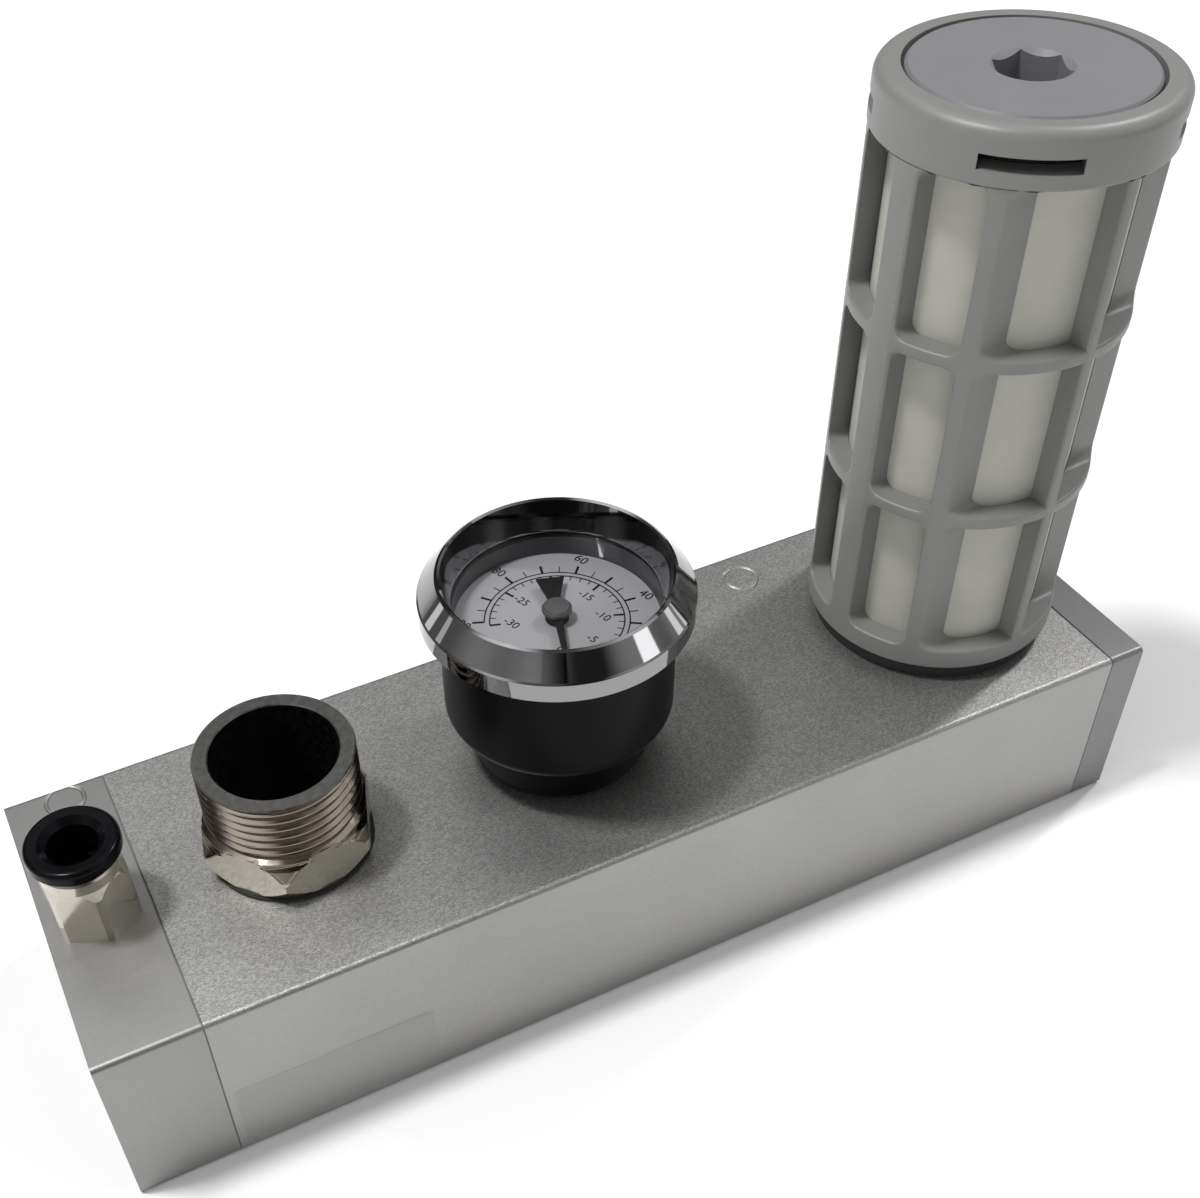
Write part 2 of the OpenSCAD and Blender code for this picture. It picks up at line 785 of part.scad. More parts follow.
// One window of the cage, cut along the local +X from near the parting plane
module window_cut(y0, w, z) {
    translate([1.1, y0 + w / 2, z]) rotate([90, 0, 90])
        linear_extrude(cage_d) round_rect(w, window_h, window_corner);
}

// Moulded cage: the windows of each half are all cut in the direction of that
// half's mould slide, so their side walls are parallel and not radial
module silencer_cage() {
    r = cage_d / 2;
    rr = cap_ring_d / 2;
    foot = 0.8;
    outer_y = rib_side + window_w + rib_thin;
    color([0.55, 0.55, 0.54]) at_silencer() rotate(cage_turn) difference() {
        rotate_extrude() difference() {
            union() {
                translate([spigot_r + 0.05, cage_z])
                    square([r - spigot_r - 0.05 - foot, cap_z - cage_z]);
                translate([r - 3, cage_z + foot]) square([3, cap_z - cage_z - foot]);
                translate([r - foot, cage_z + foot]) circle(foot);
                translate([10, cap_z]) square([rr - 10, silencer_h - cap_z - 2]);
                translate([10, cap_z]) square([rr - 12, silencer_h - cap_z]);
                translate([rr - 2, silencer_h - 2]) circle(2);
            }
            translate([0, cage_z + cage_floor]) square([cage_bore_r, silencer_h]);
        }
        for (half = [0, 180], row = [0 : window_rows - 1]) {
            z = sill_z + row * (window_h + window_ring);
            rotate(half) {
                window_cut(rib_side, window_w, z);
                window_cut(-rib_side - window_w, window_w, z);
                window_cut(outer_y, window_w, z);
                window_cut(-outer_y - window_w, window_w, z);
            }
        }
        // four narrow latch slots under the cap
        for (a = [47.3, 132.7, 227.3, 312.7]) {
            rotate(a) translate([cage_bore_r - 2, -slot_w / 2, cap_z + slot_z])
                cube([8, slot_w, slot_h]);
        }
    }
}

module silencer_filter() {
    color([0.90, 0.89, 0.85]) at_silencer()
        ring(filter_bore_r, cage_bore_r - filter_gap, cage_z + cage_floor,
            silencer_h - cap_disc_t - seal_t);
}

// Rubber ring between filter and cap, behind the latch slots
module silencer_seal() {
    z = silencer_h - cap_disc_t - seal_t;
    color([0.06, 0.06, 0.06]) at_silencer()
        ring(cap_boss_r + 0.2, cage_bore_r - 0.4, z, z + seal_t);
}

// Screwed cap with a hexagon socket
module silencer_cap() {
    color([0.57, 0.57, 0.58]) at_silencer() difference() {
        translate([0, 0, silencer_h - cap_disc_t]) rotate_extrude() polygon([
            [0, -cap_boss_l], [cap_boss_r, -cap_boss_l], [cap_boss_r, 0],
            [cage_bore_r - 0.05, 0], [cage_bore_r - 0.05, 2.2], [cap_disc_r, 2.2],
            [cap_disc_r, cap_disc_t - 0.4], [cap_disc_r - 0.4, cap_disc_t], [0, cap_disc_t]
        ]);
        translate([0, 0, silencer_h - 7]) rotate(cap_hex_turn) cylinder(r = 6, h = 8, $fn = 6);
        translate([0, 0, silencer_h - 0.8]) cylinder(r1 = 5.2, r2 = 6.2, h = 0.81);
    }
}

main_body();
inlet_block();
end_plate();
inlet_gasket();
end_gasket();
inlet_block_screws();
end_plate_screws();
film_label();
supply_nozzle();
second_stage_nozzle();
third_stage_nozzle();
outlet_diffuser();
first_stage_plate();
second_stage_plate();
third_stage_plate();
second_stage_valve();
third_stage_valve();
gallery_partition();
fitting_body();
fitting_tube_seal();
fitting_grab_ring();
fitting_collar();
release_sleeve();
vacuum_nipple();
nipple_seal();
gauge_seal();
gauge_socket();
bourdon_tube();
gauge_movement();
gauge_case();
gauge_dial();
gauge_spacer();
gauge_glass();
gauge_bezel();
gauge_pointer();
pointer_cap();
silencer_gasket();
silencer_spigot();
silencer_cage();
silencer_filter();
silencer_seal();
silencer_cap();
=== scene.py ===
# %% [markdown]
# # A multi-stage vacuum ejector, dressed for a studio picture
# A vacuum ejector makes suction from compressed air. This one is an aluminium
# block with four fittings in a row: a push-in air inlet, a threaded vacuum
# nipple, a dial gauge and a tall plastic silencer. The solids come from a CAD
# model that is already true to size, so this lesson adds what the solids don't
# carry: the screw thread, the print on the dial, and the finishes.

# %% Load the solids
import json
import math

import bmesh
import bpy
from mathutils import Matrix, Vector

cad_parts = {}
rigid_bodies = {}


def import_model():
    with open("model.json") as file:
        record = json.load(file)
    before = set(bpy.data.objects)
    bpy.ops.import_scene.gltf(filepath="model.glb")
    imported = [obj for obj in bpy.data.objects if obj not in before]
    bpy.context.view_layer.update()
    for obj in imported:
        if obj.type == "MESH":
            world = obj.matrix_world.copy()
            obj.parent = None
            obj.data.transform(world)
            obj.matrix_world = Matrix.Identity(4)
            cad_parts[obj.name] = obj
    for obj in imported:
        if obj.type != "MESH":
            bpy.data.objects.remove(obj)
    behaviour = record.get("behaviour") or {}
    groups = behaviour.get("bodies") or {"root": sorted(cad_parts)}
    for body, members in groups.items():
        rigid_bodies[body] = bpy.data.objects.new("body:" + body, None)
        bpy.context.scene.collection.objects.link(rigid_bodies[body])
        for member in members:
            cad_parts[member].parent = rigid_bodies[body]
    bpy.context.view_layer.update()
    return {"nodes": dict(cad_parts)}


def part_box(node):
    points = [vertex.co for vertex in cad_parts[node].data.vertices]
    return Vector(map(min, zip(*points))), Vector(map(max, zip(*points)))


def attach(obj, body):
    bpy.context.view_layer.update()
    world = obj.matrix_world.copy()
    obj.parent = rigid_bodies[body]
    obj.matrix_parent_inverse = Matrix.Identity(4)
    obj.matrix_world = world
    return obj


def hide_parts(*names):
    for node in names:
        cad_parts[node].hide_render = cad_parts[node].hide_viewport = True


for leftover in list(bpy.data.objects):
    bpy.data.objects.remove(leftover)

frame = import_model()
nodes = frame["nodes"]
MM = 0.001

# %% [markdown]
# ## Small helpers for node trees
# Every finish here is a node tree, and a tree written out link by link is hard
# to read. The first helper adds one node and fills its inputs, where a value
# that is itself an output of another node becomes a link. The second makes a
# material that is ready to be changed. The others are the moves that most
# finishes share: a noise, a range to spread it over, a relief, a colour that
# wanders, and giving the finish to the pieces that wear it. Every pattern lies
# on the piece's own coordinates, so it moves with the piece.

# %% Helpers for node trees
def add(tree, kind, inputs=None, **settings):
    """Adds a node. inputs maps a name or number to a value or to another node's output."""
    made = tree.nodes.new(kind)
    for name, value in settings.items():
        setattr(made, name, value)
    for name, value in (inputs or {}).items():
        if isinstance(value, bpy.types.NodeSocket):
            tree.links.new(value, made.inputs[name])
        else:
            made.inputs[name].default_value = value
    return made


def finish(name, colour, roughness, metallic=0.0, **more):
    """A new material with one Principled shader. Further inputs are given with _ for a space."""
    material = bpy.data.materials.new(name)
    material.use_nodes = True
    shader = material.node_tree.nodes["Principled BSDF"]
    shader.inputs["Base Color"].default_value = (*colour, 1)
    shader.inputs["Roughness"].default_value = roughness
    shader.inputs["Metallic"].default_value = metallic
    for key, value in more.items():
        shader.inputs[key.replace("_", " ")].default_value = value
    return material, material.node_tree, shader


def noise(tree, size_mm, detail):
    """Noise whose lumps are about size_mm apart."""
    place = add(tree, "ShaderNodeTexCoord").outputs["Object"]
    return add(tree, "ShaderNodeTexNoise",
               {"Vector": place, "Scale": 1 / (size_mm * MM), "Detail": detail}).outputs["Fac"]


NOISE_LOW = 0.3  # a noise stays mostly between these two
NOISE_HIGH = 0.7


def spread(tree, value, low, high):
    """Maps a noise onto low to high."""
    return add(tree, "ShaderNodeMapRange", {
        "Value": value, "From Min": NOISE_LOW, "From Max": NOISE_HIGH,
        "To Min": low, "To Max": high}).outputs[0]


EDGE_SAMPLES = 6


def bump(tree, shader, height, depth_mm, strength=1.0, edge_mm=0.0):
    """Tilts the shader's normals by a height, in a relief depth_mm deep. With
    edge_mm, they also turn softly round each edge."""
    made = add(tree, "ShaderNodeBump", {"Height": height, "Distance": depth_mm * MM,
                                        "Strength": strength})
    if edge_mm:
        rounded = add(tree, "ShaderNodeBevel", {"Radius": edge_mm * MM}, samples=EDGE_SAMPLES)
        tree.links.new(rounded.outputs[0], made.inputs["Normal"])
    tree.links.new(made.outputs[0], shader.inputs["Normal"])


def tint(tree, shader, value, dark, light):
    """Lets the base colour wander between two colours."""
    # a Mix node has its colours at inputs 6 and 7 and at output 2
    made = add(tree, "ShaderNodeMix", {0: value, 6: (*dark, 1), 7: (*light, 1)}, data_type="RGBA")
    tree.links.new(made.outputs[2], shader.inputs["Base Color"])


def wear(*names):
    """Gives these CAD nodes a material: wear("node", ..., material)."""
    *names, material = names
    for name in names:
        nodes[name].data.materials.clear()
        nodes[name].data.materials.append(material)
    print(material.name, "on", ", ".join(names))

# %% [markdown]
# ## The camera
# The picture is taken from close by, above the front left corner, so the
# silencer looms and the block runs away to the right. Close views spread the
# lines a lot, and only the right distance gives the right spread. The camera
# is set by its place and its two axes, and a small lens shift frames the object.

# %% Camera
def new_object(name, data):
    """Puts a lens, a lamp, a mesh or a text into the scene."""
    made = bpy.data.objects.new(name, data)
    bpy.context.scene.collection.objects.link(made)
    return made


BLOCK_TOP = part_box("main_body")[1].z
EYE = Vector((-90.342, -172.018, 230.881)) * MM
RIGHT = Vector((0.89906826, -0.43657548, -0.03283462))
UP = Vector((0.33009617, 0.62669864, 0.70589329))

lens = bpy.data.cameras.new("camera")
lens.sensor_width = 36
lens.lens = 45.766
lens.shift_x = 0.0637
lens.shift_y = 0.1070
lens.clip_start = 0.01
camera = new_object("camera", lens)
camera.matrix_world = Matrix((
    (RIGHT.x, UP.x, RIGHT.cross(UP).x, EYE.x),
    (RIGHT.y, UP.y, RIGHT.cross(UP).y, EYE.y),
    (RIGHT.z, UP.z, RIGHT.cross(UP).z, EYE.z),
    (0, 0, 0, 1)))
bpy.context.scene.camera = camera
bpy.context.scene.view_settings.view_transform = "Standard"
print("eye above the block, mm:", round((EYE.z - BLOCK_TOP) / MM, 1))

# %% [markdown]
# ## Floor, sky and lamps
# The object stands on a plain white table. Two soft lamps hang over it: one
# high on the left, which throws the short shadows to the right of each
# fitting, and a weaker one lower on the right, which throws the silencer's long
# shadow along the block. Polished metal shows what is round it, so the room
# matters as much as the lamps. An evenly pale room makes chrome look like grey
# paint. This one is dark, with soft pale patches in it, as walls, windows and a
# lit ceiling would be, and each patch is a round spot on the sky. A few small
# spots with a harder edge, such as a bulb, a gap at a door and a dark figure,
# draw the narrow bars that a chrome rim always shows.

# %% Floor
bpy.ops.mesh.primitive_plane_add(size=6)
floor = bpy.context.object
floor.name = "floor"
paper = finish("floor_paper", (0.93, 0.93, 0.93), 0.9, Specular_IOR_Level=0.1)[0]
floor.data.materials.append(paper)
print("floor:", [round(v, 1) for v in floor.dimensions], "m")

# %% Sky
def towards(azimuth, elevation):
    """A direction from the block: azimuth 0 is +X and 90 is +Y, in degrees."""
    a = math.radians(azimuth)
    e = math.radians(elevation)
    return Vector((math.cos(a) * math.cos(e), math.sin(a) * math.cos(e), math.sin(e)))


DARK_ROOM = 0.035
PATCHES = {  # azimuth, elevation and radius in degrees, and brightness
    "ceiling_left": (180, 56, 26, 1.52), "ceiling_right": (0, 56, 26, 0.92),
    "ceiling_back": (90, 56, 26, 0.80), "ceiling_between": (45, 56, 26, 0.23),
    "ceiling_far_left": (135, 56, 26, 0.22), "ceiling_over": (0, 90, 36, 0.12),
    "window_left": (225, 4, 34, 0.85), "wall_left": (180, 4, 34, 0.22),
    "wall_left_up": (180, 32, 30, 0.27), "wall_near_left": (225, 32, 30, 0.22),
    "wall_right": (0, 4, 34, 0.51), "wall_back": (135, 4, 34, 0.17),
    "window_right": (315, 32, 30, 0.50), "window_right_up": (315, 56, 26, 0.44)}
SMALL_SPOTS = {  # the same four
    "bulb": (318, 20, 8, 2.6), "dark_figure": (241, 33, 10, -0.14),
    "door_gap": (347, 8, 3.5, 1.5), "door_gap_low": (355, 5, 2.5, 1.2),
    "shelf": (131, 3, 4, 1.5), "shelf_end": (145, 9, 3, 0.9)}
EVEN_SHARE = 0.75  # how much of a small spot's radius is evenly bright

world = bpy.data.worlds.new("room")
world.use_nodes = True
bpy.context.scene.world = world
tree = world.node_tree
direction = add(tree, "ShaderNodeTexCoord").outputs["Generated"]
total = DARK_ROOM
spots = [(*spot, 0.0) for spot in PATCHES.values()]
spots += [(*spot, EVEN_SHARE) for spot in SMALL_SPOTS.values()]
for azimuth, elevation, radius, brightness, even_share in spots:
    # the cosine of the angle between this direction and the spot's middle
    near = add(tree, "ShaderNodeVectorMath", {0: direction, 1: towards(azimuth, elevation)},
               operation="DOT_PRODUCT").outputs["Value"]
    glow = add(tree, "ShaderNodeMapRange", {
        "Value": near, "From Min": math.cos(math.radians(radius)),
        "From Max": math.cos(math.radians(radius * even_share)),
        "To Min": 0.0, "To Max": brightness}, interpolation_type="SMOOTHSTEP").outputs[0]
    total = add(tree, "ShaderNodeMath", {0: glow, 1: total}, operation="ADD").outputs[0]
# no part of the room is darker than black
total = add(tree, "ShaderNodeMath", {0: total, 1: 0.0}, operation="MAXIMUM").outputs[0]
tree.links.new(total, tree.nodes["Background"].inputs["Color"])
print("patches in the room:", len(spots))

# %% Lamps
LAMP_DISTANCE = 1.5
AIM = Vector((0, 0, 30)) * MM


def lamp(name, azimuth, elevation, size, power):
    """A square lamp that looks at the block. size is in metres and power in watts."""
    data = bpy.data.lights.new(name, "AREA")
    data.size = size
    data.energy = power
    made = new_object(name, data)
    offset = towards(azimuth, elevation) * LAMP_DISTANCE
    made.location = AIM + offset
    made.rotation_euler = (-offset).to_track_quat("-Z", "Y").to_euler()
    print(name, "at", [round(v, 2) for v in made.location])


lamp("lamp_left", azimuth=164, elevation=70, size=0.18, power=14.6)
lamp("lamp_right", azimuth=15, elevation=50, size=0.12, power=6.2)

# %% [markdown]
# ## Aluminium
# The block is extruded aluminium, clear anodised. Its middle part was blasted
# with glass beads, which leaves round dents all over, each about as wide as its
# neighbours and no two alike. A Voronoi texture is just that: its cells are the
# dents and the distance to a cell's middle is their depth. Its random colour
# makes some dents a little brighter: a painted sparkle, standing in for the
# glints that light throws off the dents. Anodising leaves a thin cloudy layer,
# so the metal is partly matt: it shows shadows, which a pure mirror wouldn't.
# The upright faces are smoother than the top, so the dents and the painted
# sparkle are held back there, by how far a face looks up. The end blocks were
# only milled smooth, so they get the same metal with hardly any dents. A real cut
# edge is broken with a file, and a Bevel node under the relief gives it that
# thin line of light without a single new face.

# %% Blasted and smooth aluminium
METAL_SHARE = 0.9  # the rest is the matt look of the anodised layer
BROKEN_EDGE = 0.3  # mm
# the middle of the dents' painted sparkle
NO_SPARKLE = 0.5  # leaves the colour as it is
LOOKS_ASIDE = 0.5  # how far a face looks up, where 1 is level
LOOKS_UP = 0.9


def aluminium(name, colour, roughness, dent_mm, depth_mm, painted_sparkle, sides=1.0):
    """How far each dent's painted sparkle changes the colour is set by the argument
    before sides; sides is how much of the blasting is left on upright faces."""
    material, tree, shader = finish(name, colour, roughness, metallic=METAL_SHARE)
    place = add(tree, "ShaderNodeTexCoord").outputs["Object"]
    dents = add(tree, "ShaderNodeTexVoronoi",
                {"Vector": place, "Scale": 1 / (dent_mm * MM)}).outputs
    upward = add(tree, "ShaderNodeSeparateXYZ", {
        0: add(tree, "ShaderNodeNewGeometry").outputs["Normal"]}).outputs["Z"]
    share = add(tree, "ShaderNodeMapRange", {
        "Value": upward, "From Min": LOOKS_ASIDE, "From Max": LOOKS_UP,
        "To Min": sides, "To Max": 1.0}).outputs[0]
    bump(tree, shader, dents["Distance"], depth_mm, share, edge_mm=BROKEN_EDGE)
    cloud = spread(tree, noise(tree, size_mm=18, detail=3), roughness - 0.03, roughness + 0.03)
    tree.links.new(cloud, shader.inputs["Roughness"])
    # each dent's painted sparkle, from 0 to 1, drawn back to the unchanged colour on upright faces
    dent_sparkle = add(tree, "ShaderNodeSeparateColor", {0: dents["Color"]}).outputs[0]
    dent_sparkle = add(tree, "ShaderNodeMath", {0: dent_sparkle, 1: NO_SPARKLE}, operation="SUBTRACT").outputs[0]
    dent_sparkle = add(tree, "ShaderNodeMath", {0: dent_sparkle, 1: share, 2: NO_SPARKLE},
              operation="MULTIPLY_ADD").outputs[0]
    tint(tree, shader, dent_sparkle,
         [c * (1 - painted_sparkle) for c in colour], [c * (1 + painted_sparkle) for c in colour])
    return material


blasted = aluminium("blasted_aluminium", (0.345, 0.341, 0.333), roughness=0.44,
                    dent_mm=0.26, depth_mm=0.030, painted_sparkle=0.28, sides=0.15)
satin = aluminium("satin_aluminium", (0.30, 0.297, 0.29), roughness=0.44,
                  dent_mm=0.35, depth_mm=0.006, painted_sparkle=0.03)
end_satin = aluminium("satin_end_plate", (0.215, 0.214, 0.216), roughness=0.44,
                      dent_mm=0.35, depth_mm=0.006, painted_sparkle=0.03)
milled = aluminium("milled_aluminium", (0.55, 0.55, 0.56), roughness=0.30,
                   dent_mm=0.6, depth_mm=0.01, painted_sparkle=0.02)
wear("main_body", blasted)
wear("inlet_block", satin)
wear("end_plate", end_satin)
wear("first_stage_plate", "second_stage_plate", "third_stage_plate", "gallery_partition", milled)

# %% [markdown]
# ## Plated metals
# Nickel on brass is warm and mirror-like, and it is never quite flat: a very
# slight waviness bends the reflections. Chrome is colder and smoother. Both are
# metals whose roughness wanders a little, as handled metal's does. Nickel needs
# three finishes: bright on the flats and the fitting, dull on the turned end
# face, and darker and browner in the thread and on its cone. That darker colour
# is a painted shade, standing in for the shade that the crests throw into the grooves.

# %% Nickel, chrome, brass and steel
def plated(name, colour, roughness, depth_mm, metallic=1.0):
    """depth_mm is the depth of the waves."""
    material, tree, shader = finish(name, colour, roughness, metallic=metallic)
    bump(tree, shader, noise(tree, size_mm=2.5, detail=2), depth_mm)
    handled = spread(tree, noise(tree, size_mm=1.2, detail=4), roughness * 0.7, roughness * 1.4)
    tree.links.new(handled, shader.inputs["Roughness"])
    return material


nickel = plated("nickel_plate", (0.58, 0.548, 0.475), 0.15, 0.003, metallic=0.85)
# darker nickel for the thread and its cone: a painted shade for the shade in the grooves
thread_shade_nickel = plated("nickel_in_thread", (0.23, 0.20, 0.168), 0.12, 0.002)
nickel_face = plated("nickel_turned_face", (0.13, 0.128, 0.122), 0.40, 0.001)
chrome = plated("bright_chrome", (0.28, 0.28, 0.286), 0.035, 0.002)
brass = plated("turned_brass", (0.72, 0.52, 0.24), 0.22, 0.01)
zinc = plated("zinc_plated_steel", (0.42, 0.42, 0.43), 0.28, 0.01)
wear("fitting_body", "fitting_collar", "silencer_spigot", nickel)
wear("gauge_bezel", chrome)
wear("supply_nozzle", "second_stage_nozzle", "third_stage_nozzle", "outlet_diffuser",
     "gauge_socket", "gauge_movement", "bourdon_tube", brass)
wear("inlet_block_screws", "end_plate_screws", zinc)
wear("fitting_grab_ring", plated("dark_spring_steel", (0.05, 0.05, 0.05), 0.35, 0.01))

# %% [markdown]
# ## Rubber, plastics and paint
# The seals are dull black rubber. The release button is glossy black plastic,
# the gauge's case is black lacquer over pressed steel, and the silencer is a
# light grey moulding round a tube of sintered plastic beads. All of them are
# non-metals, so their gloss is white and their colour sits underneath. A fine
# grain and a slow change of shade keep them from looking like flat paint.

# %% Non-metals
def moulded(name, colour, roughness, grain_mm, depth_mm, change=0.06, **more):
    """grain_mm and depth_mm are the grain's size and depth; change is how far the
    colour wanders."""
    material, tree, shader = finish(name, colour, roughness, **more)
    bump(tree, shader, noise(tree, grain_mm, detail=3), depth_mm)
    tint(tree, shader, spread(tree, noise(tree, size_mm=9, detail=4), 0, 1),
         [c * (1 - change) for c in colour], [min(1, c * (1 + change)) for c in colour])
    return material


rubber = moulded("black_rubber", (0.018, 0.018, 0.018), 0.65, 0.4, 0.02)
button = moulded("black_button", (0.003, 0.003, 0.004), 0.2, 1.5, 0.004, Specular_IOR_Level=0.09)
lacquer = moulded("black_lacquer", (0.0045, 0.0045, 0.0055), 0.34, 0.8, 0.006,
                  Specular_IOR_Level=0.06)
film = moulded("clear_film", (0.75, 0.75, 0.74), 0.2, 2.0, 0.01, Alpha=0.10)
dark = moulded("dark_spacer", (0.045, 0.047, 0.05), 0.45, 0.8, 0.005)
grey_plastic = moulded("grey_moulding", (0.205, 0.205, 0.199), 0.42, 0.5, 0.006, 0.03)
# the cap is a cooler grey than the cage, and a little darker: that darker grey is a painted shade
# on its upward face
cap_plastic_painted_shade = moulded("grey_cap", (0.184, 0.184, 0.195), 0.50, 0.3, 0.006, 0.03)
sintered = moulded("sintered_filter", (0.46, 0.455, 0.413), 0.8, 0.35, 0.06, 0.05)
enamel = moulded("dial_enamel", (0.36, 0.356, 0.367), 0.45, 0.6, 0.001, 0.02)
ink = moulded("dial_ink", (0.006, 0.006, 0.007), 0.6, 0.4, 0.001, Specular_IOR_Level=0.1)
cap_grey = moulded("hub_cap", (0.06, 0.062, 0.058), 0.45, 0.35, 0.06, 0.35)
fibre = moulded("fibre_sheet", (0.16, 0.16, 0.15), 0.8, 0.3, 0.03, 0.15)
wear("film_label", film)
wear("silencer_gasket", "nipple_seal", "gauge_seal", "fitting_tube_seal", "silencer_seal",
     "second_stage_valve", "third_stage_valve", rubber)
wear("inlet_gasket", "end_gasket", fibre)
wear("release_sleeve", button)
wear("gauge_case", lacquer)
wear("gauge_spacer", dark)
wear("silencer_cage", grey_plastic)
wear("silencer_cap", cap_plastic_painted_shade)
wear("silencer_filter", sintered)
wear("gauge_dial", enamel)
wear("gauge_pointer", ink)
wear("pointer_cap", cap_grey)

# %% [markdown]
# ## The gauge's glass
# Flat clear glass both shows the dial and mirrors the room. A full refracting
# glass would be right too, but then the lamps' light finds its way to the dial
# only by chance, which is slow and noisy. A thin flat pane hardly bends light,
# so it is made of a transparent shader and a mirror, mixed by how slantwise the
# pane is seen. Only its outer side mirrors, as the inner side would do it a
# second time.

# %% Glass
glass = bpy.data.materials.new("clear_glass")
glass.use_nodes = True
tree = glass.node_tree
clear = add(tree, "ShaderNodeBsdfTransparent", {"Color": (0.95, 0.95, 0.955, 1)})
mirror = add(tree, "ShaderNodeBsdfGlossy", {
    "Roughness": spread(tree, noise(tree, size_mm=6, detail=3), 0.02, 0.06)})
slant = add(tree, "ShaderNodeFresnel", {"IOR": 1.5}).outputs[0]
inner = add(tree, "ShaderNodeNewGeometry").outputs["Backfacing"]
outer = add(tree, "ShaderNodeMath", {0: 1.0, 1: inner}, operation="SUBTRACT").outputs[0]
share = add(tree, "ShaderNodeMath", {0: slant, 1: outer}, operation="MULTIPLY").outputs[0]
pane = add(tree, "ShaderNodeMixShader", {0: share, 1: clear.outputs[0], 2: mirror.outputs[0]})
tree.links.new(pane.outputs[0], tree.nodes["Material Output"].inputs["Surface"])
wear("gauge_glass", glass)

# %% [markdown]
# ## Geometry Nodes helpers
# What repeats or follows a rule is grown by a Geometry Nodes tree whose sizes
# are named inputs. The first helper builds an empty tree with its inputs and its
# arithmetic, and the second ends it. The next two run it on an object with the
# sizes wanted and freeze the result to a plain mesh. A finished piece stays at
# the origin and has its place in its mesh, which is the last helper's work.

# %% Helpers for Geometry Nodes
def growing_tree(name, sizes):
    """An empty tree, its sizes by name, and a function that does arithmetic in it."""
    tree = bpy.data.node_groups.new(name, "GeometryNodeTree")
    tree.interface.new_socket("Geometry", in_out="OUTPUT", socket_type="NodeSocketGeometry")
    for size, value in sizes.items():
        kind = "NodeSocketInt" if isinstance(value, int) else "NodeSocketFloat"
        tree.interface.new_socket(size, in_out="INPUT", socket_type=kind).default_value = value

    def calc(operation, *values):
        made = add(tree, "ShaderNodeMath", dict(enumerate(values)), operation=operation)
        return made.outputs[0]

    return tree, add(tree, "NodeGroupInput").outputs, calc


def close_tree(tree, geometry, material):
    """Ends a tree in real geometry that wears a material."""
    real = add(tree, "GeometryNodeRealizeInstances", {0: geometry}).outputs[0]
    worn = add(tree, "GeometryNodeSetMaterial", {0: real, "Material": material}).outputs[0]
    add(tree, "NodeGroupOutput", {0: worn})


def frozen(piece):
    """The mesh that a piece's modifiers or its text make. The piece itself goes."""
    bpy.context.view_layer.update()
    seen = piece.evaluated_get(bpy.context.evaluated_depsgraph_get())
    mesh = bpy.data.meshes.new_from_object(seen)
    bpy.data.objects.remove(piece)
    return mesh


def grow(tree, name, **sizes):
    """Runs the tree with these sizes and returns a plain mesh object."""
    holder = new_object(name + "_holder", bpy.data.meshes.new(name + "_holder"))
    modifier = holder.modifiers.new("grow", "NODES")
    modifier.node_group = tree
    for item in tree.interface.items_tree:
        key = item.name.replace(" ", "_")
        if item.in_out == "INPUT" and key in sizes:
            modifier[item.identifier] = sizes[key]
    mesh = frozen(holder)
    mesh.name = name
    print(name, "faces:", len(mesh.polygons))
    return new_object(name, mesh)


def settle(piece, place):
    """Moves the vertices to their place, so that the object stays at the origin."""
    piece.data.transform(Matrix.Translation(place))
    piece.data.update()

# %% [markdown]
# ## The pipe thread on the nipple
# A pipe thread is one groove that climbs round the nipple by its pitch each
# turn. It could be a ridge swept along a spiral, but the ends of such a ridge
# never sit right. Here a flat grid is rolled up instead: one side of the grid
# goes once round, and each row of the other side climbs by one pitch as it
# goes, so crests and roots run exactly along the rows. Rows past either end are
# pressed flat against it. The groove is cut into the turned shape, which widens
# to a cone over the hexagon, and runs out on that cone. The six flats are milled
# last, so they cut through both. The first row closes the sleeve at the bottom,
# the last four take it over its rim and down its bore, and merging by distance
# joins the seams.

# %% Thread tree
PITCH = 1.814 * MM
ROWS_A_TURN = 12.0
SPARE_TURNS = 2.0  # one below the bottom and one above the rim
CLOSING_ROWS = 6.0  # the bottom one, four at the rim, and one as a grid counts from nought
FLANK_TOP = 0.07  # in pitches from the middle of a crest
FLANK_FOOT = 0.43
SEAM = 0.002 * MM  # points nearer to each other than this are one


